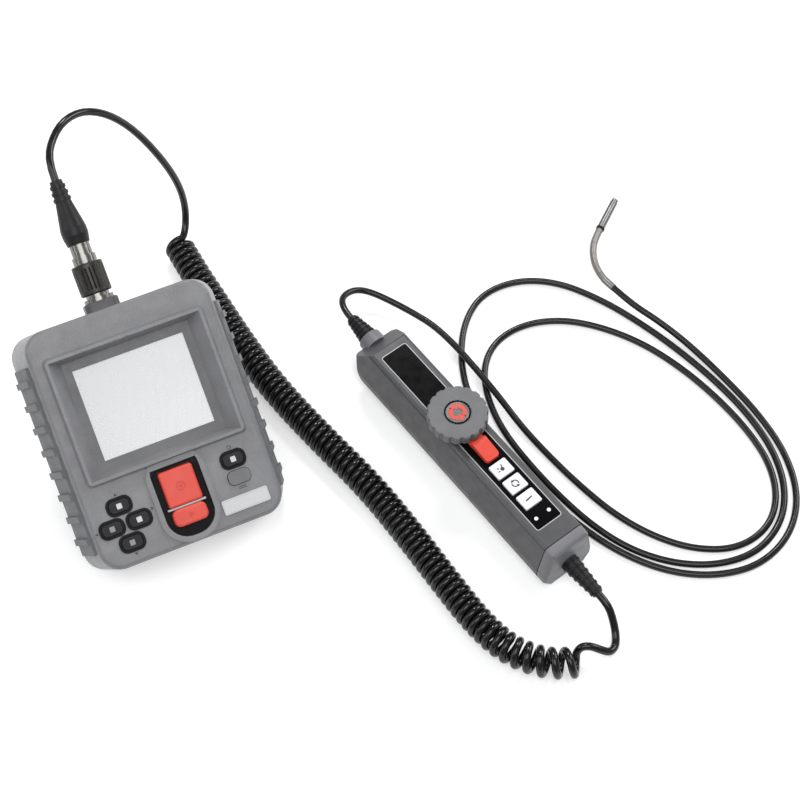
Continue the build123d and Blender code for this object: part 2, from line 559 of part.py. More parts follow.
# articulation wheel, its shaft and pulley, the bush and the lock lever
wheel = Pos(0, 0, WHEEL_Z + WHEEL_T / 2) * Cylinder(WHEEL_R, WHEEL_T)
wheel = fillet(wheel.edges(), 1.2)
for i in range(WHEEL_NOTCHES):
    notch = Pos(WHEEL_R + 0.3, 0, WHEEL_Z + WHEEL_T / 2) * Cylinder(NOTCH_R, WHEEL_T + 2)
    wheel -= Rot(0, 0, (i + 0.5) * 360 / WHEEL_NOTCHES) * notch
wheel -= Pos(0, 0, WHEEL_Z + WHEEL_T) * Cylinder(EMBLEM_R + 0.1, 2 * EMBLEM_T)
wheel -= Pos(0, 0, WHEEL_Z + 2) * Cylinder(SHAFT_R, 4.002)
parts["articulation_wheel"] = (HANDSET, wheel)
emblem_z = WHEEL_Z + WHEEL_T - EMBLEM_T
parts["wheel_emblem"] = (HANDSET, Pos(0, 0, emblem_z + EMBLEM_T / 2) * Cylinder(EMBLEM_R, EMBLEM_T))
shaft_low = PULLEY_Z - 1.5
shaft_top = WHEEL_Z + 4.0
parts["wheel_shaft"] = (HANDSET, Pos(0, 0, (shaft_low + shaft_top) / 2) * Cylinder(SHAFT_R, shaft_top - shaft_low))
pulley = Pos(0, 0, PULLEY_Z + PULLEY_T / 2) * (Cylinder(PULLEY_R, PULLEY_T) - Cylinder(SHAFT_R, PULLEY_T + 1))
groove = Pos(0, 0, PULLEY_Z + PULLEY_T / 2) * (Cylinder(PULLEY_R + 1, 1.4) - Cylinder(PULLEY_R - 1, 1.6))
parts["wire_pulley"] = (HANDSET, pulley - groove)
bush_low = PULLEY_Z + PULLEY_T + 0.6
lever_z = HAND_H + LEVER_GAP
bush_top = WHEEL_Z - 0.3
bush = Pos(0, 0, (bush_low + bush_top) / 2) * Cylinder(BUSH_R, bush_top - bush_low)
bush += Pos(0, 0, cover_inner - 0.75) * Cylinder(BUSH_FLANGE_R, 1.5)
bush -= Cylinder(SHAFT_R + RUN_CLEAR, 200)
parts["wheel_bush"] = (HANDSET, bush)
wire_z = PULLEY_Z + PULLEY_T / 2
wires = []
for sy in (-1, 1):
    start = Vector(-1.5, sy * (PULLEY_R + 0.4), wire_z)
    end = Vector(HAND_NOSE + 6, sy * 0.8, GLAND_Z)
    line = Line(start, end)
    wires.append(sweep(Plane(start, z_dir=end - start) * Circle(WIRE_D / 2), line))
parts["pull_wires"] = (HANDSET, Compound(children=wires))

lever = Pos(0, 0, lever_z + LEVER_T / 2) * Cylinder(BUSH_R + 3.6, LEVER_T)
lever += block(0, LEVER_REACH, -LEVER_W / 2, LEVER_W / 2, lever_z, lever_z + LEVER_T)
pad_from = WHEEL_R + 1.2
pad_profile = [(pad_from, lever_z), (LEVER_REACH, lever_z), (LEVER_REACH, lever_z + 2.4),
               (pad_from + 2.5, lever_z + LEVER_PAD), (pad_from, lever_z + LEVER_PAD)]
pad = extrude(Plane.XZ * make_face(Polyline(*pad_profile, close=True)), LEVER_W / 2, both=True)
lever += pad
lever = fillet([e for e in lever.edges().filter_by(Axis.Z) if e.center().X > LEVER_REACH - 1], 2.0)
lever -= Pos(0, 0, lever_z) * Cylinder(BUSH_R + RUN_CLEAR, 10)
parts["lock_lever"] = (HANDSET, lever)

for i, x in enumerate(white_x):
    key = rounded(WHITE_L, WHITE_W, cover_inner - 0.9, HAND_H + WHITE_PROUD, 0.7, x)
    key = fillet(key.edges().group_by(Axis.Z)[-1], 0.35)
    key += rounded(WHITE_L + 1.0, WHITE_W + 1.4, cover_inner - 0.9, cover_inner - 0.3, 0.9, x)
    parts["white_key_%d" % (i + 1)] = (HANDSET, key)
lights = []
for sy in (-1, 1):
    lights.append(Pos(LIGHT_X, sy * LIGHT_SPREAD, HAND_H - 2.4) * Cylinder(LIGHT_R - 0.02, 5.4))
parts["indicator_lights"] = (HANDSET, Compound(children=lights))

# case screws: four in the monitor, four in the handset
screws = []


def screw(length):
    shank = Pos(0, 0, length / 2) * Cylinder(SCREW_R, length)
    head = Pos(0, 0, SCREW_HEAD_T / 2 - 0.1) * Cylinder(SCREW_HEAD_R, SCREW_HEAD_T - 0.2)
    slot = Pos(0, 0, 0) * (Box(3.2, 0.7, 1.2) + Box(0.7, 3.2, 1.2))
    return shank + head - slot


for x, y in SCREWS_MONITOR:
    screws.append(MONITOR * Pos(x, y, 0.1) * screw(CASE_SPLIT + 8))
for x, y in SCREWS_HAND:
    screws.append(HANDSET * Pos(x, y, 0.1) * screw(HAND_SPLIT + 8))
parts["case_screws"] = (Location(), Compound(children=screws))


# ------------------------------------------------------------------ cords
def corner_radii(points):
    """0.45 of the shorter run at each corner, divided by the tangent of half the turn."""
    radii = []
    for before, at, after in zip(points, points[1:], points[2:]):
        run_in = at - before
        run_out = after - at
        half = math.radians(run_in.get_angle(run_out)) / 2
        radii.append(0.45 * min(run_in.length, run_out.length) / math.tan(half))
    return radii


def tube(name, points, diameter):
    """A round cord along straight runs joined by tangent arcs, with its volume checked."""
    radii = corner_radii(points)
    path = FilletPolyline(*points, radius=radii)
    start = Plane(points[0], z_dir=points[1] - points[0])
    solid = sweep(start * Circle(diameter / 2), path)
    ideal = math.pi * diameter ** 2 / 4 * path.length
    print("%-15s length %7.1f  volume/ideal %.4f  smallest radius %.1f (%.1f dia)" % (
        name, path.length, solid.volume / ideal, min(radii), min(radii) / diameter))
    return solid


cable_start = world(MONITOR, SOCKET_X, CASE_H + boot_end, SOCKET_Z)
cable_dir = world(MONITOR, SOCKET_X, CASE_H + boot_end + 1, SOCKET_Z) - cable_start
coil_z = COIL_D / 2 + COIL_REST
upper_points = [
    cable_start,
    cable_start + cable_dir * 11,
    desk(2, 187.5, 130),
    desk(11, 196.5, 131.5),
    desk(23, 203, 127.5),
    desk(35, 205.5, 118),
    desk(45.5, 205, 105),
    desk(54, 202.5, 90),
    desk(61, 199.5, 73.5),
    desk(65.5, 197.5, 57.5),
    desk(67.5, 197, 43.5),
    desk(66.7, 198.5, 31),
    desk(64.7, 199.5, 20.5),
    desk(61.5, 196.5, 12.5),
    desk(59.3, 188.5, coil_z),
    desk(60.1, 178.5, coil_z),
]
parts["cable_upper"] = (Location(), tube("cable_upper", upper_points, CABLE_D))

coil_points = [
    desk(60.1, 178.5, coil_z),
    desk(61.7, 158.5, coil_z),
    desk(65, 135, coil_z),
    desk(69, 103, coil_z),
    desk(75.5, 66, coil_z),
    desk(87, 27, coil_z),
    desk(101, -14, coil_z),
    desk(109.5, -52, coil_z),
    desk(116, -86, coil_z),
    desk(121.5, -112, coil_z),
    desk(129, -131.5, coil_z),
    desk(140, -145, coil_z),
    desk(154, -153, coil_z),
]
parts["cable_coil"] = (Location(), tube("cable_coil", coil_points, COIL_D))

relief_end = world(HANDSET, HAND_END + CORD_RELIEF_L, 0, OUTLET_Z)
relief_dir = world(HANDSET, HAND_END + CORD_RELIEF_L + 1, 0, OUTLET_Z) - relief_end
cable_z = CABLE_D / 2 + 0.1
lower_points = [
    desk(154, -153, coil_z),
    desk(161, -157, coil_z),
    desk(169, -159, 6),
    desk(177.5, -157.5, 3),
    desk(185, -151.5, 3.6),
    desk(188.3, -143, 8.5),
    relief_end + relief_dir * 8,
    relief_end,
]
parts["cable_lower"] = (Location(), tube("cable_lower", lower_points, CABLE_D))

probe_z = PROBE_D / 2 + 0.05
over_z = probe_z + PROBE_D + 0.4
probe_start = world(HANDSET, relief_at - PROBE_RELIEF_L, 0, GLAND_Z)
probe_dir = probe_start - world(HANDSET, relief_at, 0, GLAND_Z)
tip_at = desk(283.5, 50.5, TIP_Z)
TIP_HEADING = 108.0
tip_dir = Vector(math.cos(math.radians(TIP_HEADING)), math.sin(math.radians(TIP_HEADING)), 0)
probe_points = [
    probe_start,
    probe_start + probe_dir.normalized() * 6,
    desk(131.5, 99.5, 17.5),
    desk(136.5, 104.5, 15),
    desk(144, 106, 12.5),
    desk(151.5, 102.5, 10),
    desk(160, 93.5, 8),
    desk(169, 82, over_z),
    desk(177, 68.5, over_z),
    desk(183, 50, over_z),
    desk(187.5, 30, over_z),
    desk(191.5, 9, over_z),
    desk(196, -12, 3),
    desk(202.5, -35, probe_z),
    desk(210, -58, probe_z),
    desk(219.5, -81, probe_z),
    desk(233, -101.5, probe_z),
    desk(250, -117.5, probe_z),
    desk(271, -126.5, probe_z),
    desk(292, -123, probe_z),
    desk(306.5, -109, probe_z),
    desk(313.5, -88, probe_z),
    desk(312.5, -64, probe_z),
    desk(306.5, -38, probe_z),
    desk(297, -12, probe_z),
    desk(284, 12, probe_z),
    desk(267, 31.5, probe_z),
    desk(248, 45.5, probe_z),
    desk(226, 51.5, probe_z),
    desk(206, 47.5, probe_z),
    desk(192.5, 34.5, probe_z),
    desk(186, 15, probe_z),
    desk(185, -8, probe_z),
    desk(189.5, -33, probe_z),
    desk(196.5, -59, probe_z),
    desk(205.5, -83, probe_z),
    desk(218, -104, probe_z),
    desk(236, -121, probe_z),
    desk(258, -131.5, probe_z),
    desk(281, -133, probe_z),
    desk(301, -123, probe_z),
    desk(314, -105, probe_z),
    desk(319.5, -81, probe_z),
    desk(317.5, -54, probe_z),
    desk(311, -28, probe_z),
    desk(301.5, -2, probe_z),
    desk(290, 23, probe_z),
    desk(275.5, 48, probe_z),
    desk(257, 70, probe_z),
    desk(235, 81, probe_z),
    desk(212, 80, probe_z),
    desk(195, 66.5, probe_z),
    desk(183.5, 46.5, probe_z),
    desk(177, 24, probe_z),
    desk(176.5, 0, probe_z),
    desk(181, -25, probe_z),
    desk(188.5, -52, probe_z),
    desk(198, -79, probe_z),
    desk(212, -104, probe_z),
    desk(231, -124.5, probe_z),
    desk(254, -137, probe_z),
    desk(279, -140.5, probe_z),
    desk(302.5, -131, probe_z),
    desk(318.5, -111.5, probe_z),
    desk(325, -85, probe_z),
    desk(323, -56, probe_z),
    desk(316.5, -28, probe_z),
    desk(308, 0, 2.6),
    desk(298, 20, 5.6),
    tip_at - tip_dir * 15,
    tip_at,
]
parts["insertion_tube"] = (Location(), tube("insertion_tube", probe_points, PROBE_D))

# ------------------------------------------------------------------ probe tip
def bevelled(x0, x1, radius, bevel_start, bevel_end):
    """A round link whose bevelled ends let it swing about upright axes at x0 and x1."""
    cut = radius * math.tan(math.radians(LINK_HALF))
    a = x0 + (LINK_GAP if bevel_start else 0)
    b = x1 - (LINK_GAP if bevel_end else 0)
    side_a = a + (cut if bevel_start else 0)
    side_b = b - (cut if bevel_end else 0)
    outline = [(side_a, radius), (side_b, radius), (b, 0), (side_b, -radius), (side_a, -radius), (a, 0)]
    if not bevel_start:
        outline.remove((a, 0))
    if not bevel_end:
        outline.remove((b, 0))
    plan = extrude(make_face(Polyline(*outline, close=True)), radius, both=True)
    return plan & cylinder_x(radius, a, b, 0, 0)


LINK_REST = TIP_REST / LINKS
tip_place = Location((tip_at.X, tip_at.Y, tip_at.Z), (0, 0, TIP_HEADING))
parts["tip_ferrule"] = (tip_place, bevelled(0, FERRULE_L, FERRULE_D / 2, False, True))
hinge_points = []
place = tip_place * Pos(FERRULE_L, 0, 0)
for i in range(LINKS):
    hinge_points.append(place.position)
    place = place * Rot(0, 0, LINK_REST)
    last = i == LINKS - 1
    parts["bend_link_%d" % (i + 1)] = (place, bevelled(0, LINK_L, LINK_D / 2, True, not last))
    if not last:
        place = place * Pos(LINK_L, 0, 0)
head = cylinder_x(HEAD_D / 2, LINK_L, LINK_L + HEAD_L - LENS_L, 0, 0)
head += cylinder_x(HEAD_D / 2 + HEAD_RING_RISE, LINK_L, LINK_L + HEAD_RING_L, 0, 0)
parts["camera_head"] = (place, head)
lens = cylinder_x(HEAD_D / 2 - LENS_STEP, LINK_L + HEAD_L - LENS_L, LINK_L + HEAD_L, 0, 0)
parts["camera_lens"] = (place, chamfer(lens.edges().group_by(Axis.X)[-1], 0.3))

# ------------------------------------------------------------------ write the files
solids = {name: where * shape for name, (where, shape) in parts.items()}


def main():
    os.makedirs("parts", exist_ok=True)
    for name, shape in solids.items():
        shape.label = name
        export_step(shape, "parts/" + name + ".step")
    print(len(solids), "nodes written")


main()
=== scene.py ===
import bmesh
import bpy
import json
import math
from mathutils import Matrix, Vector


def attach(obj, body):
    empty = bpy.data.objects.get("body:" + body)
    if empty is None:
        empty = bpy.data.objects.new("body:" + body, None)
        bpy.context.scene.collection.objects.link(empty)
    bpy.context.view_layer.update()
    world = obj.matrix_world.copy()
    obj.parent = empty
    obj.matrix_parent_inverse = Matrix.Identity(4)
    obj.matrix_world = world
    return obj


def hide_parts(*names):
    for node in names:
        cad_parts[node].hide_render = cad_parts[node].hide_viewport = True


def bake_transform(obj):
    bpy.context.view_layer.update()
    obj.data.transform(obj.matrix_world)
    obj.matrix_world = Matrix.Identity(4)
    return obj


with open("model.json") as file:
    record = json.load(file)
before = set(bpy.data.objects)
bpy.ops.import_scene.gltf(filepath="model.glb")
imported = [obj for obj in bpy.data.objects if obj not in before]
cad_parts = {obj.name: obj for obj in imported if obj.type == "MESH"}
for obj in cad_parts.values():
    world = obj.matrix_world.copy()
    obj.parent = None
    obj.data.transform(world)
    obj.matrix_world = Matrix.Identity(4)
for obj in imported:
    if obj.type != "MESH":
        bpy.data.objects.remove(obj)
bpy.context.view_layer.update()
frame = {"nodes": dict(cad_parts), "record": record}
nodes = frame["nodes"]

# ---------------------------------------------------------------- places shared with the frame
MM = 0.001
UP = Vector((0, 0, 1))
MONITOR_AT = (-67.7, -8.94)      # middle of the monitor's lower edge, millimetres
LEAN = math.radians(32.0)
HANDSET_FROM_MONITOR = (156.0, -8.2)
HANDSET_TURN = math.radians(-75.5)

MONITOR = (Matrix.Translation(Vector((MONITOR_AT[0], MONITOR_AT[1], 0)) * MM)
           @ Matrix.Rotation(LEAN, 4, "X"))
HANDSET = (Matrix.Translation(Vector((MONITOR_AT[0] + HANDSET_FROM_MONITOR[0],
                                      MONITOR_AT[1] + HANDSET_FROM_MONITOR[1], 0)) * MM)
           @ Matrix.Rotation(HANDSET_TURN, 4, "Z"))


def desk(x, y, z):
    """A point given in millimetres from the middle of the monitor's lower edge."""
    return Vector((x + MONITOR_AT[0], y + MONITOR_AT[1], z)) * MM


def on_monitor(x, y, z):
    return MONITOR @ (Vector((x, y, z)) * MM)


def on_handset(x, y, z):
    return HANDSET @ (Vector((x, y, z)) * MM)


def placed(name, data):
    """A new object with this data, linked into the scene."""
    obj = bpy.data.objects.new(name, data)
    bpy.context.collection.objects.link(obj)
    return obj


# ---------------------------------------------------------------- camera
VIEW_TURN = math.radians(-23.5)
VIEW_RISE = math.radians(60.0)
VIEW_FAR = 1.2
TARGET = desk(140.26, 34.43, 0)
LENS, SENSOR = 94.5, 36.0

camera = placed("camera", bpy.data.cameras.new("camera"))
back = Vector((math.sin(VIEW_TURN) * math.cos(VIEW_RISE), -math.cos(VIEW_TURN) * math.cos(VIEW_RISE),
               math.sin(VIEW_RISE)))
camera.location = TARGET + back * VIEW_FAR
camera.rotation_euler = (-back).to_track_quat("-Z", "Y").to_euler()
camera.data.lens = LENS
camera.data.sensor_width = SENSOR
bpy.context.scene.camera = camera


# ---------------------------------------------------------------- routes of the cords, millimetres
CABLE_D = 4.4
COIL_D = 17.6
COIL_REST = 0.2
COIL_Z = COIL_D / 2 + COIL_REST
PROBE_D = 3.9
PROBE_Z = PROBE_D / 2 + 0.05
OVER_Z = PROBE_Z + PROBE_D + 0.4
SOCKET_X, SOCKET_Z, CASE_H = -3.5, 17.0, 134.0
BOOT_END = 9.0 + 17.0 + 11.0 + 36.0          # ring start, ring, plug neck and boot above the top edge
HAND_END, CORD_RELIEF_L, OUTLET_Z = 97.0, 24.0, 15.0
HAND_NOSE, GLAND_L, PROBE_RELIEF_L, GLAND_Z = -76.0, 5.0, 16.0, 19.0
TIP_AT = (283.5, 50.5, 7.2)
TIP_HEADING = math.radians(108.0)

CABLE_UPPER = [
    on_monitor(SOCKET_X, CASE_H + BOOT_END, SOCKET_Z),
    on_monitor(SOCKET_X, CASE_H + BOOT_END + 11, SOCKET_Z),
    desk(2, 187.5, 130), desk(11, 196.5, 131.5), desk(23, 203, 127.5), desk(35, 205.5, 118),
    desk(45.5, 205, 105), desk(54, 202.5, 90), desk(61, 199.5, 73.5), desk(66.5, 197, 57.5),
    desk(69.7, 195, 43.5), desk(70.8, 193, 32), desk(70, 189.5, 23), desk(67.5, 184.5, 17),
]
COIL_ALONG = (                   # the middle line of the coil
    (60.1, 178.5), (61.7, 158.5), (65, 135), (69, 103), (75.5, 66), (87, 27), (101, -14),
    (109.5, -52), (116, -86), (121.5, -112), (129, -131.5), (139.5, -144), (150.5, -151.5),
    (161, -154.5),
)
CABLE_COIL = [desk(x, y, COIL_Z) for x, y in COIL_ALONG]
CABLE_LOWER = [
    desk(165.6, -147.9, 11.2), desk(170.5, -149.8, 11.2), desk(175.2, -153, 8.3),
    desk(179.8, -154.8, 4.6), desk(184.6, -152.3, 3), desk(187.6, -146.3, 4), desk(188.7, -139.5, 8.8),
    on_handset(HAND_END + CORD_RELIEF_L + 8, 0, OUTLET_Z),
    on_handset(HAND_END + CORD_RELIEF_L, 0, OUTLET_Z),
]
relief_at = HAND_NOSE + 1.0 - GLAND_L
STRAIGHT = 15                    # straight run of the tube into the ferrule
back_along = Vector((math.cos(TIP_HEADING), math.sin(TIP_HEADING), 0)) * STRAIGHT
PROBE_LOOPS = (                  # from the crossing of the loops to the rise before the tip
    (202.5, -35), (210, -58), (219.5, -81), (233, -101.5), (250, -117.5), (271, -126.5),
    (292, -123), (306.5, -109), (313.5, -88), (312.5, -64), (306.5, -38), (297, -12), (284, 12),
    (267, 31.5), (248, 45.5), (226, 51.5), (206, 47.5), (192.5, 34.5), (186, 15), (185, -8),
    (189.5, -33), (196.5, -59), (205.5, -83), (218, -104), (236, -121), (258, -131.5), (281, -133),
    (301, -123), (314, -105), (319.5, -81), (317.5, -54), (311, -28), (301.5, -2), (290, 23),
    (275.5, 48), (257, 70), (235, 81), (212, 80), (195, 66.5), (183.5, 46.5), (177, 24), (176.5, 0),
    (181, -25), (188.5, -52), (198, -79), (212, -104), (231, -124.5), (254, -137), (279, -140.5),
    (302.5, -131), (318.5, -111.5), (325, -85), (323, -56), (316.5, -28),
)
PROBE = [
    on_handset(relief_at - PROBE_RELIEF_L, 0, GLAND_Z),
    on_handset(relief_at - PROBE_RELIEF_L - 6, 0, GLAND_Z),
    desk(131.5, 99.5, 17.5), desk(136.5, 104.5, 15), desk(144, 106, 12.5), desk(151.5, 102.5, 10),
    desk(160, 93.5, 8), desk(169, 82, OVER_Z), desk(177, 68.5, OVER_Z), desk(183, 50, OVER_Z),
    desk(187.5, 30, OVER_Z), desk(191.5, 9, OVER_Z), desk(196, -12, 3),
    *[desk(x, y, PROBE_Z) for x, y in PROBE_LOOPS],
    desk(308, 0, 2.6), desk(298, 20, 5.6),
    desk(*TIP_AT) - back_along * MM, desk(*TIP_AT),
]


# ---------------------------------------------------------------- curves
def nurbs(name, points, radius, resolution, round_steps=5):
    """A curve of one smooth open spline with these control points, and a round bevel."""
    data = bpy.data.curves.new(name, "CURVE")
    data.dimensions = "3D"
    data.resolution_u = resolution
    data.bevel_depth = radius
    data.bevel_resolution = round_steps
    data.use_fill_caps = radius > 0
    spline = data.splines.new("NURBS")
    spline.points.add(len(points) - 1)
    for point, place in zip(spline.points, points):
        point.co = (*place, 1)
    spline.order_u = 3
    spline.use_endpoint_u = True
    return placed(name, data)


def line_of(points, resolution=24):
    """Points along the smooth line of a route's spline, and the length so far at each."""
    route = nurbs("route", points, 0.0, resolution)
    mesh = bpy.data.meshes.new_from_object(route)
    places = [v.co.copy() for v in mesh.vertices]
    bpy.data.meshes.remove(mesh)
    bpy.data.objects.remove(route)
    along = [0.0]
    for a, b in zip(places, places[1:]):
        along.append(along[-1] + (b - a).length)
    return places, along


def tube(name, points, radius, resolution, round_steps):
    """A mesh tube round the smooth line of a route."""
    curve = nurbs(name + "_line", points, radius, resolution, round_steps)
    mesh = bpy.data.meshes.new_from_object(curve)
    bpy.data.objects.remove(curve)
    for polygon in mesh.polygons:
        polygon.use_smooth = True
    mesh.materials.clear()
    return placed(name, mesh)


def at_length(places, along, s):
    """The place and direction a distance s along a line."""
    low, high = 0, len(along) - 1
    while high - low > 1:
        middle = (low + high) // 2
        if along[middle] <= s:
            low = middle
        else:
            high = middle
    span = max(along[high] - along[low], 1e-9)
    t = min(max((s - along[low]) / span, 0.0), 1.0)
    return places[low].lerp(places[high], t), (places[high] - places[low]).normalized()


# the curly cable: one cord from the plug's boot to the handset's strain relief
PITCH = 4.6                      # close turns
OPEN_PITCH = 8.8                 # the stretched turns at the handset's end
OPEN_LENGTH = 75.0
TURN_POINTS = 14
FIRST_TURN = -0.09               # the cable runs onto the first turn from above, on its outer side
LAST_TURN = 0.70                 # and leaves the last one on the side towards the handset
UNEVEN = 0.25                    # how far the turns' spacing wanders, millimetres
WANDER = (61.0, 23.0)            # and how fast, in radians per metre of the coil
helix_r = (COIL_D - CABLE_D) / 2 * MM
even_r = helix_r / math.cos(math.pi / TURN_POINTS)      # the spline passes inside its points


def pitch_at(s, whole):
    """Spacing of the turns in metres, a distance s along the coil."""
    opened = min(max((s - (whole - OPEN_LENGTH * MM)) / (OPEN_LENGTH * MM), 0.0), 1.0)
    spacing = PITCH + (OPEN_PITCH - PITCH) * opened * opened
    return (spacing + UNEVEN * math.sin(s * WANDER[0]) * math.sin(s * WANDER[1])) * MM


def helix(places, along):
    """Points of the coiled stretch about its middle line."""
    whole = along[-1]
    counted, s = 0, 0.0
    while s < whole:
        s += pitch_at(s, whole) / TURN_POINTS
        counted += 1
    raw = counted / TURN_POINTS
    wanted = round(raw - LAST_TURN + FIRST_TURN) + LAST_TURN - FIRST_TURN
    steps = round(wanted * TURN_POINTS)
    points, s = [], 0.0
    for step in range(steps + 1):
        place, heading = at_length(places, along, s)
        side = heading.cross(UP).normalized()
        up = side.cross(heading).normalized()
        angle = 2 * math.pi * (FIRST_TURN + step / TURN_POINTS)
        points.append(place + (up * math.cos(angle) + side * math.sin(angle)) * even_r)
        s += pitch_at(s, whole) / TURN_POINTS * raw / wanted
    return points


turns = helix(*line_of(CABLE_COIL))
cable_route = CABLE_UPPER + turns + CABLE_LOWER
cable_line = line_of(cable_route, 3)[0]
cable = tube("curly_cable", cable_route, CABLE_D / 2 * MM, 3, 4)
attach(cable, "frame")
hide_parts("cable_upper", "cable_coil", "cable_lower")

probe_line = line_of(PROBE, 10)[0]
probe = tube("probe_tube", PROBE, PROBE_D / 2 * MM, 10, 5)
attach(probe, "frame")
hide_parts("insertion_tube")


# ---------------------------------------------------------------- materials
def tree_of(name):
    made = bpy.data.materials.new(name)
    made.use_nodes = True
    tree = made.node_tree
    return made, tree, tree.nodes["Principled BSDF"]


def noise(tree, place, size_mm, detail=3.0):
    """A noise whose features are about this many millimetres across."""
    node = tree.nodes.new("ShaderNodeTexNoise")
    node.inputs["Scale"].default_value = 1000.0 / size_mm
    node.inputs["Detail"].default_value = detail
    tree.links.new(place, node.inputs["Vector"])
    return node.outputs["Fac"]


def between(tree, factor, low, high):
    """A number that runs from low to high as the factor runs over its middle range."""
    node = tree.nodes.new("ShaderNodeMapRange")
    node.inputs["From Min"].default_value = 0.3
    node.inputs["From Max"].default_value = 0.7
    node.inputs["To Min"].default_value = low
    node.inputs["To Max"].default_value = high
    tree.links.new(factor, node.inputs["Value"])
    return node.outputs["Result"]


def blend_colour(tree, factor, a, b):
    node = tree.nodes.new("ShaderNodeMix")
    node.data_type = "RGBA"
    for socket, value in ((node.inputs[6], a), (node.inputs[7], b)):
        if isinstance(value, tuple):
            socket.default_value = (*value, 1)
        else:
            tree.links.new(value, socket)
    tree.links.new(factor, node.inputs[0])
    return node.outputs[2]


PATCH_MM, GLOSS_MM = 14.0, 6.0   # size of the patches in a surface's colour and in its gloss
GLOSS_SPREAD = 0.07
EDGE_FROM, EDGE_TO = 0.53, 0.64  # the pointiness at which an edge starts to look rubbed, and fully does


def surface(name, colour, rough, grain_mm=0.5, depth=0.04, mottle=0.08, wear=0.0, metal=0.0, coat=0.0,
            scratch=0.0, sheen=0.5):
    """Moulded or turned stuff: mottled colour, uneven gloss, fine grain and edges rubbed paler."""
    made, tree, shader = tree_of(name)
    links = tree.links
    place = tree.nodes.new("ShaderNodeTexCoord").outputs["Object"]
    dark = tuple(c * (1 - mottle) for c in colour)
    pale = tuple(min(1.0, c * (1 + mottle)) for c in colour)
    colour_now = blend_colour(tree, between(tree, noise(tree, place, PATCH_MM), 0.0, 1.0), dark, pale)
    speck = tuple(min(1.0, c * (1 + 2.2 * mottle)) for c in colour)
    fine = between(tree, noise(tree, place, grain_mm * 1.7, 1.0), -0.4, 0.6)
    colour_now = blend_colour(tree, fine, colour_now, speck)
    if wear > 0:
        edge = tree.nodes.new("ShaderNodeNewGeometry").outputs["Pointiness"]
        rubbed = tree.nodes.new("ShaderNodeMapRange")
        rubbed.inputs["From Min"].default_value = EDGE_FROM
        rubbed.inputs["From Max"].default_value = EDGE_TO
        rubbed.inputs["To Max"].default_value = wear
        links.new(edge, rubbed.inputs["Value"])
        worn = tuple(min(1.0, c * 1.9 + 0.03) for c in colour)
        colour_now = blend_colour(tree, rubbed.outputs["Result"], colour_now, worn)
    links.new(colour_now, shader.inputs["Base Color"])
    gloss = between(tree, noise(tree, place, GLOSS_MM), rough - GLOSS_SPREAD, rough + GLOSS_SPREAD)
    links.new(gloss, shader.inputs["Roughness"])
    height = noise(tree, place, grain_mm, 2.0)
    if scratch > 0:
        stretch = tree.nodes.new("ShaderNodeMapping")
        stretch.inputs["Scale"].default_value = (1.0, 18.0, 1.0)
        stretch.inputs["Rotation"].default_value = (0.3, 0.2, 0.6)
        links.new(place, stretch.inputs["Vector"])
        lines = noise(tree, stretch.outputs["Vector"], 3.0, 4.0)
        mix = tree.nodes.new("ShaderNodeMath")
        mix.operation = "MULTIPLY_ADD"
        mix.inputs[1].default_value = scratch
        links.new(lines, mix.inputs[0])
        links.new(height, mix.inputs[2])
        height = mix.outputs[0]
    bump = tree.nodes.new("ShaderNodeBump")
    bump.inputs["Distance"].default_value = depth * MM
    bump.inputs["Strength"].default_value = 0.9
    links.new(height, bump.inputs["Height"])
    links.new(bump.outputs["Normal"], shader.inputs["Normal"])
    shader.inputs["Metallic"].default_value = metal
    shader.inputs["Specular IOR Level"].default_value = sheen
    shader.inputs["Coat Weight"].default_value = coat
    shader.inputs["Coat Roughness"].default_value = 0.12
    return made


def lit_screen(name):
    """A blank lit display: even grey-white, brighter towards one lower corner, with fine rows."""
    made, tree, shader = tree_of(name)
    links = tree.links
    coords = tree.nodes.new("ShaderNodeTexCoord")
    split = tree.nodes.new("ShaderNodeSeparateXYZ")
    links.new(coords.outputs["Generated"], split.inputs["Vector"])
    slope = tree.nodes.new("ShaderNodeMath")
    slope.operation = "SUBTRACT"
    links.new(split.outputs["X"], slope.inputs[0])
    links.new(split.outputs["Y"], slope.inputs[1])
    spread = tree.nodes.new("ShaderNodeMapRange")
    spread.inputs["From Min"].default_value = -1.0
    spread.inputs["From Max"].default_value = 1.0
    links.new(slope.outputs[0], spread.inputs["Value"])
    glow = blend_colour(tree, spread.outputs["Result"], (0.60, 0.61, 0.63), (0.78, 0.79, 0.80))
    cloudy = between(tree, noise(tree, coords.outputs["Object"], 30.0), 0.0, 0.25)
    glow = blend_colour(tree, cloudy, glow, (0.68, 0.69, 0.71))
    rows = tree.nodes.new("ShaderNodeTexWave")
    rows.bands_direction = "X"
    rows.inputs["Scale"].default_value = 900.0
    links.new(coords.outputs["Object"], rows.inputs["Vector"])
    lined = tree.nodes.new("ShaderNodeMapRange")
    lined.inputs["To Max"].default_value = 0.04
    links.new(rows.outputs["Fac"], lined.inputs["Value"])
    glow = blend_colour(tree, lined.outputs["Result"], glow, (0.35, 0.36, 0.38))
    links.new(glow, shader.inputs["Emission Color"])
    shader.inputs["Emission Strength"].default_value = 0.92
    shader.inputs["Base Color"].default_value = (0.05, 0.05, 0.05, 1)
    shader.inputs["Roughness"].default_value = 0.35
    return made


def clear_window(name):
    """The thin clear plate over the display, with faint smears in its gloss."""
    made, tree, shader = tree_of(name)
    place = tree.nodes.new("ShaderNodeTexCoord").outputs["Object"]
    tree.links.new(between(tree, noise(tree, place, 9.0), 0.04, 0.14), shader.inputs["Roughness"])
    shader.inputs["Base Color"].default_value = (0.8, 0.82, 0.82, 1)
    shader.inputs["Alpha"].default_value = 0.1
    return made


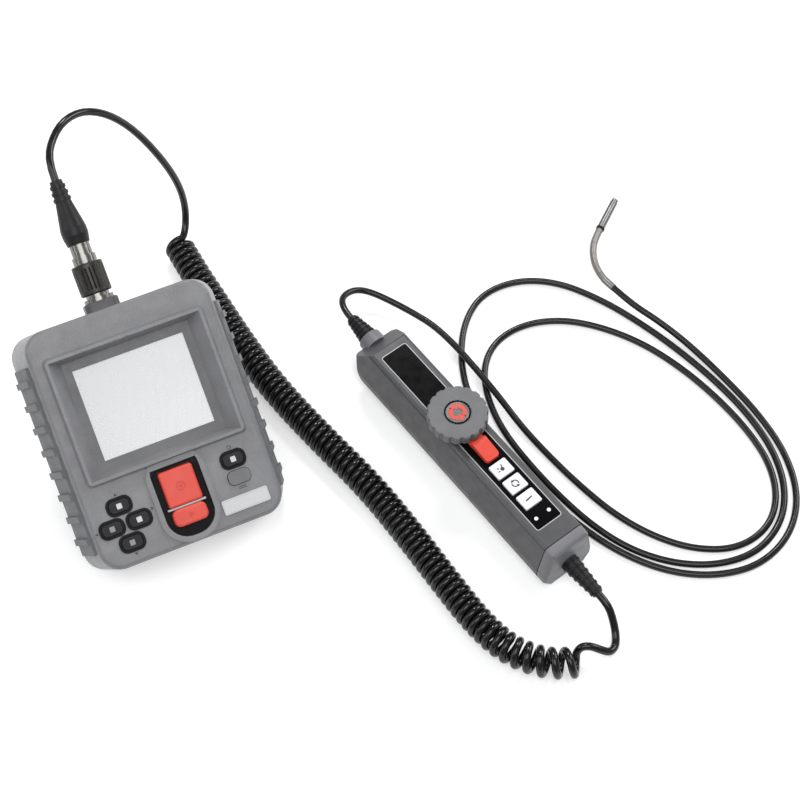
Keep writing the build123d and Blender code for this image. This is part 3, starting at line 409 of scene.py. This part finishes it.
LOOKS = {
    "case_grey": surface("case_grey", (0.160, 0.160, 0.167), 0.40, 0.45, 0.06, 0.10, wear=0.2),
    "hood_grey": surface("hood_grey", (0.115, 0.115, 0.119), 0.48, 0.45, 0.05, 0.07, wear=0.15),
    "case_dark": surface("case_dark", (0.050, 0.050, 0.053), 0.42, 0.4, 0.05, 0.08, wear=0.2),
    "end_cap": surface("end_cap", (0.13, 0.13, 0.137), 0.46, 0.4, 0.05, 0.08, wear=0.4),
    "wheel_grey": surface("wheel_grey", (0.125, 0.125, 0.13), 0.55, 0.35, 0.06, 0.08),
    "grip_rubber": surface("grip_rubber", (0.105, 0.106, 0.11), 0.68, 0.3, 0.06, 0.09, wear=0.2),
    "black_plastic": surface("black_plastic", (0.006, 0.006, 0.007), 0.36, 0.4, 0.03, 0.15, wear=0.05,
                             sheen=0.08),
    "gloss_black": surface("gloss_black", (0.003, 0.003, 0.0035), 0.24, 0.6, 0.012, 0.2, sheen=0.05),
    "black_rubber": surface("black_rubber", (0.008, 0.008, 0.009), 0.40, 0.35, 0.05, 0.15, wear=0.08,
                            sheen=0.25),
    "cable_black": surface("cable_black", (0.004, 0.004, 0.0045), 0.17, 0.6, 0.015, 0.15, sheen=0.38),
    "tube_black": surface("tube_black", (0.006, 0.006, 0.0065), 0.24, 0.35, 0.03, 0.15, sheen=0.4),
    "red_plastic": surface("red_plastic", (0.60, 0.050, 0.028), 0.36, 0.4, 0.03, 0.05, wear=0.12),
    "key_grey": surface("key_grey", (0.022, 0.022, 0.024), 0.46, 0.3, 0.03, 0.08, wear=0.08, sheen=0.15),
    "menu_grey": surface("menu_grey", (0.13, 0.13, 0.136), 0.5, 0.3, 0.03, 0.08, wear=0.15),
    "key_white": surface("key_white", (0.74, 0.74, 0.75), 0.4, 0.4, 0.02, 0.03),
    "light_white": surface("light_white", (0.85, 0.85, 0.86), 0.22, 0.5, 0.01, 0.03, coat=0.5),
    "plate_white": surface("plate_white", (0.52, 0.52, 0.52), 0.45, 0.3, 0.015, 0.03),
    "board_green": surface("board_green", (0.02, 0.10, 0.05), 0.4, 0.8, 0.03, 0.2),
    "battery_blue": surface("battery_blue", (0.05, 0.10, 0.28), 0.35, 0.8, 0.01, 0.1),
    "nickel": surface("nickel", (0.20, 0.195, 0.185), 0.20, 0.8, 0.01, 0.04, metal=1.0, scratch=0.4),
    "black_metal": surface("black_metal", (0.028, 0.027, 0.024), 0.36, 0.5, 0.02, 0.15, wear=0.5, metal=0.7),
    "steel": surface("steel", (0.26, 0.255, 0.245), 0.30, 0.6, 0.015, 0.06, metal=1.0, scratch=0.7),
    "head_steel": surface("head_steel", (0.15, 0.148, 0.143), 0.34, 0.6, 0.015, 0.06, metal=1.0, scratch=0.6),
    "brass": surface("brass", (0.56, 0.40, 0.16), 0.3, 0.7, 0.01, 0.06, metal=1.0, scratch=0.4),
    "braid_steel": surface("braid_steel", (0.22, 0.21, 0.198), 0.42, 0.25, 0.02, 0.10, metal=0.85),
    "lens_dark": surface("lens_dark", (0.02, 0.022, 0.03), 0.12, 0.8, 0.004, 0.2, coat=1.0),
    "print_dark": surface("print_dark", (0.035, 0.035, 0.038), 0.55, 0.2, 0.01, 0.1),
    "print_pale": surface("print_pale", (0.40, 0.40, 0.41), 0.5, 0.2, 0.01, 0.08),
    "emblem_metal": surface("emblem_metal", (0.15, 0.15, 0.147), 0.28, 0.6, 0.01, 0.06, metal=0.8,
                            scratch=0.5),
    "rim_dark": surface("rim_dark", (0.006, 0.006, 0.0065), 0.44, 0.35, 0.03, 0.12, wear=0.05, sheen=0.12),
    "seam_dark": surface("seam_dark", (0.012, 0.012, 0.013), 0.6, 0.3, 0.01, 0.15, sheen=0.2),
    "red_dark": surface("red_dark", (0.50, 0.035, 0.02), 0.45, 0.4, 0.02, 0.08),
    # a lit and a shaded copy of the keys' pip colour: painted highlight (paler) and painted shade (darker)
    "pip_painted_highlight": surface("pip_painted_highlight", (0.48, 0.48, 0.49), 0.3, 0.4, 0.01, 0.04, coat=0.3),
    "pip_painted_shade": surface("pip_painted_shade", (0.20, 0.20, 0.205), 0.35, 0.4, 0.01, 0.06, coat=0.2),
    "screen_lit": lit_screen("screen_lit"),
    "window_clear": clear_window("window_clear"),
}
OTHER_LOOK = {"screen_bezel": "hood_grey", "handset_end_cap": "end_cap", "articulation_wheel": "wheel_grey",
              "top_panel": "gloss_black", "menu_key": "menu_grey", "wheel_emblem": "emblem_metal",
              "key_rims": "rim_dark", "nose_gland": "end_cap", "socket_boss": "case_dark",
              "handset_cover": "case_dark", "handset_tray": "case_dark", "camera_head": "head_steel"}
slots = {s["node"]: s["material_slot"] for s in frame["record"]["subparts"]}
for name, obj in nodes.items():
    obj.data.materials.clear()
    obj.data.materials.append(LOOKS[OTHER_LOOK.get(name, slots[name])])
cable.data.materials.append(LOOKS["cable_black"])
probe.data.materials.append(LOOKS["tube_black"])

# softened edges on the pieces whose CAD edges are sharp
BEVELS = {"monitor_front_shell": 0.35, "monitor_back_shell": 0.35, "screen_bezel": 0.4, "key_rims": 0.2,
          "capture_key": 0.5, "playback_key": 0.5, "key_tray": 0.3, "label_plate": 0.15,
          "handset_cover": 0.3, "handset_tray": 0.3, "handset_end_cap": 0.3, "top_panel": 0.12,
          "lock_lever": 0.35, "nose_gland": 0.4, "socket_boss": 0.4,
          "plug_body": 0.2, "panel_socket": 0.2, "stand_leg": 0.5, "battery_cover": 0.3,
          "key_up": 0.3, "key_down": 0.3, "key_left": 0.3, "key_right": 0.3, "power_key": 0.3,
          "menu_key": 0.3, "white_key_1": 0.3, "white_key_2": 0.3, "white_key_3": 0.3, "camera_head": 0.15}
for name, width in BEVELS.items():
    bevel = nodes[name].modifiers.new("soft_edges", "BEVEL")
    bevel.width = width * MM
    bevel.segments = 2
    bevel.limit_method = "ANGLE"
    bevel.angle_limit = math.radians(40)
    even = nodes[name].modifiers.new("even_shading", "WEIGHTED_NORMAL")
    even.keep_sharp = True


# ---------------------------------------------------------------- small raised and printed marks
def circle(x, y, r, n=20):
    return [(x + r * math.cos(2 * math.pi * i / n), y + r * math.sin(2 * math.pi * i / n)) for i in range(n)]


def arc_band(x, y, r, width, start, end, n=28):
    """A curved stripe from one angle to another, in degrees."""
    angles = [math.radians(start + (end - start) * i / n) for i in range(n + 1)]
    outer = [(x + (r + width / 2) * math.cos(a), y + (r + width / 2) * math.sin(a)) for a in angles]
    inner = [(x + (r - width / 2) * math.cos(a), y + (r - width / 2) * math.sin(a)) for a in angles]
    return outer + inner[::-1]


def ring(x, y, r, width, n=28):
    """A whole ring as two half stripes."""
    return [arc_band(x, y, r, width, 0, 180, n), arc_band(x, y, r, width, 180, 360, n)]


def bar(x, y, length, width, turn=0.0):
    a = math.radians(turn)
    u, v = length / 2, width / 2
    return [(x + p * math.cos(a) - q * math.sin(a), y + p * math.sin(a) + q * math.cos(a))
            for p, q in ((-u, -v), (u, -v), (u, v), (-u, v))]


def arrow(x, y, size, turn):
    """A triangle that points along turn degrees."""
    reach = size * 0.62
    angles = [math.radians(turn + d) for d in (0, 120, 240)]
    return [(x + reach * math.cos(a), y + reach * math.sin(a)) for a in angles]


def soft_oblong(x, y, length, width, radius, n=6):
    points = []
    for cx, cy, start in ((1, 1, 0), (-1, 1, 90), (-1, -1, 180), (1, -1, 270)):
        for i in range(n + 1):
            a = math.radians(start + 90 * i / n)
            points.append((x + cx * (length / 2 - radius) + radius * math.cos(a),
                           y + cy * (width / 2 - radius) + radius * math.sin(a)))
    return points


def frame_band(x, y, length, width, radius, line):
    """The two halves of a thin frame round an oblong."""
    outer = soft_oblong(x, y, length + 2 * line, width + 2 * line, radius + line)
    inner = soft_oblong(x, y, length, width, radius)
    half = len(outer) // 2
    return [outer[:half + 1] + inner[:half + 1][::-1],
            outer[half:] + outer[:1] + inner[:1] + inner[half:][::-1]]


def built(name, build, look):
    """The finished bmesh as an object with its look, every face turned outwards."""
    bmesh.ops.recalc_face_normals(build, faces=build.faces)
    mesh = bpy.data.meshes.new(name)
    build.to_mesh(mesh)
    build.free()
    mesh.materials.append(LOOKS[look])
    return placed(name, mesh)


SUNK = 0.05                      # how far a mark reaches into its face


def raised(name, outlines, place, z, rise, body, look, soften=0.0):
    """Flat shapes standing a little above a face: outlines in a local plane, lifted from z by rise."""
    build = bmesh.new()
    for outline in outlines:
        low = [build.verts.new(place @ (Vector((x, y, z - SUNK)) * MM)) for x, y in outline]
        high = [build.verts.new(place @ (Vector((x, y, z + rise)) * MM)) for x, y in outline]
        build.faces.new(high)
        build.faces.new(low[::-1])
        for i in range(len(low)):
            j = (i + 1) % len(low)
            build.faces.new((low[i], low[j], high[j], high[i]))
    obj = built(name, build, look)
    if soften:
        bevel = obj.modifiers.new("soft_edges", "BEVEL")
        bevel.width = soften * MM
        bevel.segments = 2
        bevel.limit_method = "ANGLE"
    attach(obj, body)


# the monitor's face
FACE_Z = 34.0
KEY_L, KEY_W, KEY_RIM, KEY_PROUD = 11.0, 6.6, 1.5, 1.3
PAD_X, PAD_Y, PAD_ACROSS, PAD_ALONG = -33.0, 22.5, 7.6, 10.3
RIGHT_X = 32.5                   # the two keys on the right
KEY_AT = {"key_up": (PAD_X, PAD_Y + PAD_ALONG), "key_down": (PAD_X, PAD_Y - PAD_ALONG),
          "key_left": (PAD_X - PAD_ACROSS, PAD_Y), "key_right": (PAD_X + PAD_ACROSS, PAD_Y),
          "power_key": (RIGHT_X, 35.0)}
KEY_TOP = FACE_Z + KEY_PROUD
RED_X, RED_Y, RED_PROUD = 1.0, 31.6, 3.0         # the large red key's mark
RED_TOP = FACE_Z + RED_PROUD
TRAY_DEEP, PLATE_PROUD = 2.6, 0.6
for name, (x, y) in KEY_AT.items():
    # painted light: the up, right and power keys' pips take the paler copy as a painted highlight, the left
    # and down keys' the darker copy as painted shade
    look = "pip_painted_shade" if name in ("key_left", "key_down") else "pip_painted_highlight"
    raised(name + "_pip", [soft_oblong(x, y, 2.9, 3.0, 0.5)], MONITOR, KEY_TOP, 0.12, name + "_body",
           look, 0.05)
beyond = KEY_RIM + 1.5
marks = [arrow(PAD_X, PAD_Y + PAD_ALONG + KEY_W / 2 + beyond, 1.7, 90),
         arrow(PAD_X, PAD_Y - PAD_ALONG - KEY_W / 2 - beyond, 1.7, -90),
         arrow(PAD_X - PAD_ACROSS - KEY_L / 2 - beyond, PAD_Y, 1.7, 180),
         arrow(PAD_X + PAD_ACROSS + KEY_L / 2 + beyond - 0.2, PAD_Y + 3.0, 1.7, 0),
         arc_band(RIGHT_X, 41.6, 1.0, 0.35, 125, 415), bar(RIGHT_X, 42.4, 0.35, 1.3),
         bar(RIGHT_X, 19.6, 4.2, 0.35), bar(RIGHT_X, 18.7, 4.2, 0.35)]
raised("face_marks", marks, MONITOR, FACE_Z, 0.06, "frame", "print_dark")
raised("tray_bar", [soft_oblong(RED_X, 20.9, 21.5, 1.0, 0.3)], MONITOR, FACE_Z - TRAY_DEEP, 4.8, "frame",
       "print_pale", 0.15)
raised("capture_mark", ring(RED_X, RED_Y, 2.2, 0.5) + [circle(RED_X, RED_Y, 0.8)], MONITOR, RED_TOP, 0.14,
       "capture_key_body", "red_dark")
raised("playback_mark", [arrow(1.2, 15.4, 3.0, 0)], MONITOR, RED_TOP, 0.14, "playback_key_body",
       "red_dark")
raised("label_edge", frame_band(31.5, 11.5, 24.6, 6.6, 0.4, 0.18), MONITOR, FACE_Z + PLATE_PROUD, 0.05,
       "frame", "print_pale")

# the handset's top
HAND_H = 34.0
raised("panel_border", frame_band(11.0, 0, 136.0, 16.4, 1.2, 0.5), HANDSET, HAND_H, 0.12, "frame",
       "print_pale")
WHITE_PROUD = 1.2
WHITE_TOP = HAND_H + WHITE_PROUD
LAMP_X, TURN_X, LINE_X = 38.4, 50.0, 61.6        # the three white keys
raised("lamp_icon", [circle(LAMP_X + 0.5, 0.2, 1.2), bar(LAMP_X - 1.5, 0.9, 1.6, 0.7, -25),
                     bar(LAMP_X - 0.9, -1.8, 1.5, 0.65, 50), bar(LAMP_X + 0.9, -2.3, 1.3, 0.65, 90)],
       HANDSET, WHITE_TOP, 0.05, "white_key_1_body", "print_dark")
raised("turn_icon", [arc_band(TURN_X, 0, 1.9, 0.7, 60, 195), arrow(TURN_X - 1.8, -0.8, 1.7, -80),
                     arc_band(TURN_X, 0, 1.9, 0.7, 240, 375), arrow(TURN_X + 1.8, 0.8, 1.7, 100)],
       HANDSET, WHITE_TOP, 0.05, "white_key_2_body", "print_dark")
raised("line_icon", [bar(LINE_X, 0, 0.85, 4.6, 8)], HANDSET, WHITE_TOP, 0.05, "white_key_3_body",
       "print_dark")
WHEEL_FOOT, WHEEL_H = 37.0, 6.6
EMBLEM_TOP = WHEEL_FOOT + WHEEL_H
raised("emblem_ring", ring(0, 0, 7.0, 1.0, 40), HANDSET, EMBLEM_TOP, 0.15, "wheel",
       "gloss_black", 0.06)
raised("emblem_arrows", [arc_band(0, 0, 3.9, 2.3, 20, 150), arrow(-3.9, 0.1, 4.4, 262),
                         arc_band(0, 0, 3.9, 2.3, 200, 330), arrow(3.9, -0.1, 4.4, 82)], HANDSET,
       EMBLEM_TOP, 0.22, "wheel", "red_plastic", 0.06)


# the seam of the handset's end cap
def rounded(corners, radius, n=8):
    """A closed outline with every corner rounded, its points in order."""
    points = []
    for i, corner in enumerate(corners):
        here = Vector(corner)
        back = (Vector(corners[i - 1]) - here).normalized()
        on = (Vector(corners[(i + 1) % len(corners)]) - here).normalized()
        half = math.acos(max(-1.0, min(1.0, back.dot(on)))) / 2
        centre = here + (back + on).normalized() * (radius / math.sin(half))
        cut = radius / math.tan(half)
        a = here + back * cut - centre
        c = here + on * cut - centre
        sweep = math.atan2(a.x * c.y - a.y * c.x, a.dot(c))
        for k in range(n + 1):
            t = sweep * k / n
            turned = Vector((a.x * math.cos(t) - a.y * math.sin(t), a.x * math.sin(t) + a.y * math.cos(t)))
            points.append((centre + turned, turned.normalized()))
    return points


def closed_band(name, loops, body, look):
    """A ring through closed loops of places, each joined to the next and the last to the first."""
    build = bmesh.new()
    rows = [[build.verts.new(place) for place in loop] for loop in loops]
    for a, c in zip(rows, rows[1:] + rows[:1]):
        for i in range(len(a)):
            j = (i + 1) % len(a)
            build.faces.new((a[i], a[j], c[j], c[i]))
    obj = built(name, build, look)
    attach(obj, body)


def section_loop(outline, along, off):
    """The handset's section at one distance along it, moved out by off, never below the table."""
    return [HANDSET @ (Vector((along, p.x + out.x * off, max(0.0, p.y + out.y * off))) * MM)
            for p, out in outline]


SEAM_X, SEAM_W, SEAM_PROUD, SEAM_DEEP = 90.0, 0.55, 0.06, -0.3
section = rounded([(12.0, 0.0), (16.5, 7.0), (16.5, 12.0), (12.5, HAND_H),
                   (-12.5, HAND_H), (-16.5, 12.0), (-16.5, 7.0), (-12.0, 0.0)], 2.6)
seam_corners = ((-1, SEAM_PROUD), (1, SEAM_PROUD), (1, SEAM_DEEP), (-1, SEAM_DEEP))
closed_band("cap_seam",
            [section_loop(section, SEAM_X + SEAM_W / 2 * end, off) for end, off in seam_corners],
            "frame", "seam_dark")


# ---------------------------------------------------------------- braided sleeve over the bending links
FERRULE_L, LINK_L, LINKS = 8.0, 7.4, 5
LINK_REST = math.radians(-67.0 / LINKS)
SLEEVE_R = 2.06
STRANDS = 9
CROSSINGS_PER_MM = 0.9
RISE, WEAVE_MIDDLE = 0.10, 0.7   # height of the weave, and its part that leaves the radius as it is
FIRST_BACK = 1.2                 # how far the first sleeve reaches back from its hinge
AROUND, STEPS_PER_MM = 72, 7


def spoke(side, angle):
    """The direction at this angle round a line, from its level side."""
    return side * math.cos(angle) + UP * math.sin(angle)


def sleeve(number, before, at, after, first, last):
    """Braid from the middle of one link to the middle of the next, round the hinge between them."""
    start = at - before * (FIRST_BACK * MM if first else LINK_L / 2 * MM)
    end = at + after * (LINK_L * MM if last else LINK_L / 2 * MM)
    long = (end - start).length / MM
    rings = int(long * STEPS_PER_MM)
    build = bmesh.new()
    rows = []
    for i in range(rings + 1):
        t = i / rings
        middle = start * (1 - t) ** 2 + at * 2 * t * (1 - t) + end * t * t
        heading = ((at - start) * (1 - t) + (end - at) * t).normalized()
        side = heading.cross(UP).normalized()
        row = []
        for j in range(AROUND):
            a = 2 * math.pi * j / AROUND
            phase = t * math.pi * round(long * CROSSINGS_PER_MM)
            weave = max(abs(math.sin(STRANDS * a + phase)), abs(math.sin(STRANDS * a - phase)))
            r = (SLEEVE_R + RISE * (weave - WEAVE_MIDDLE)) * MM
            row.append(build.verts.new(middle + spoke(side, a) * r))
        rows.append(row)
    for a, b in zip(rows, rows[1:]):
        for j in range(AROUND):
            k = (j + 1) % AROUND
            face = build.faces.new((a[j], a[k], b[k], b[j]))
            face.smooth = True
    build.faces.new(rows[0][::-1])
    build.faces.new(rows[-1])
    obj = built("braid_%d" % number, build, "braid_steel")
    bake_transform(obj)
    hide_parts("bend_link_%d" % number)


heading = Vector((math.cos(TIP_HEADING), math.sin(TIP_HEADING), 0))
hinge_at = desk(*TIP_AT) + heading * FERRULE_L * MM
for i in range(LINKS):
    turned = Matrix.Rotation(LINK_REST, 3, "Z") @ heading
    sleeve(i + 1, heading, hinge_at, turned,
           i == 0, i == LINKS - 1)
    heading = turned
    hinge_at = hinge_at + heading * LINK_L * MM

# the dark collar where the braid meets the camera head, on the last link
COLLAR_R, COLLAR_L, COLLAR_START, COLLAR_WALL, COLLAR_STEPS = 2.54, 1.5, 0.05, 0.12, 48
side = heading.cross(UP).normalized()


def collar_loop(along, radius):
    middle = hinge_at + heading * along * MM
    angles = [2 * math.pi * k / COLLAR_STEPS for k in range(COLLAR_STEPS)]
    return [middle + spoke(side, a) * radius * MM for a in angles]


closed_band("head_collar", [collar_loop(COLLAR_START, COLLAR_R), collar_loop(COLLAR_L, COLLAR_R),
                            collar_loop(COLLAR_L, COLLAR_R - COLLAR_WALL),
                            collar_loop(COLLAR_START, COLLAR_R - COLLAR_WALL)],
            "link_5", "seam_dark")

# ---------------------------------------------------------------- floor, lights and world
FLOOR = 12.0                     # half its side, metres
PAPER_GLOW, SKY_LIGHT = 0.42, 0.42
floor_mesh = bpy.data.meshes.new("floor")
floor_mesh.from_pydata([(-FLOOR, -FLOOR, 0), (FLOOR, -FLOOR, 0), (FLOOR, FLOOR, 0), (-FLOOR, FLOOR, 0)], [],
                       [(0, 1, 2, 3)])
floor = placed("floor", floor_mesh)
paper = surface("floor", (0.66, 0.66, 0.66), 0.8, 4.0, 0.02, 0.005)
paper_shader = paper.node_tree.nodes["Principled BSDF"]
paper_shader.inputs["Emission Color"].default_value = (1.0, 1.0, 1.0, 1)
paper_shader.inputs["Emission Strength"].default_value = PAPER_GLOW
floor_mesh.materials.append(paper)


def soft_box(name, place, aim, size, power):
    data = bpy.data.lights.new(name, "AREA")
    data.shape = "RECTANGLE"
    data.size, data.size_y = size
    data.energy = power
    box = placed(name, data)
    box.location = place
    box.rotation_euler = (Vector(aim) - Vector(place)).to_track_quat("-Z", "Y").to_euler()


soft_box("overhead", (-0.2, -0.55, 1.7), (0.05, 0.05, 0), (1.5, 1.0), 17)
soft_box("left_window", (-1.5, 0.3, 1.0), (0, 0, 0.03), (1.0, 1.2), 8)
soft_box("right_fill", (1.4, 0.2, 0.9), (0.1, 0, 0.03), (0.7, 0.8), 11)
soft_box("back_glint", (0.45, 1.15, 1.35), (0.0, 0.05, 0.02), (0.4, 0.3), 11)
world = bpy.data.worlds.new("studio")
bpy.context.scene.world = world
world.use_nodes = True
sky = world.node_tree.nodes["Background"]
sky.inputs["Color"].default_value = (0.95, 0.97, 1.0, 1)
sky.inputs["Strength"].default_value = SKY_LIGHT
bpy.context.scene.view_settings.view_transform = "Standard"
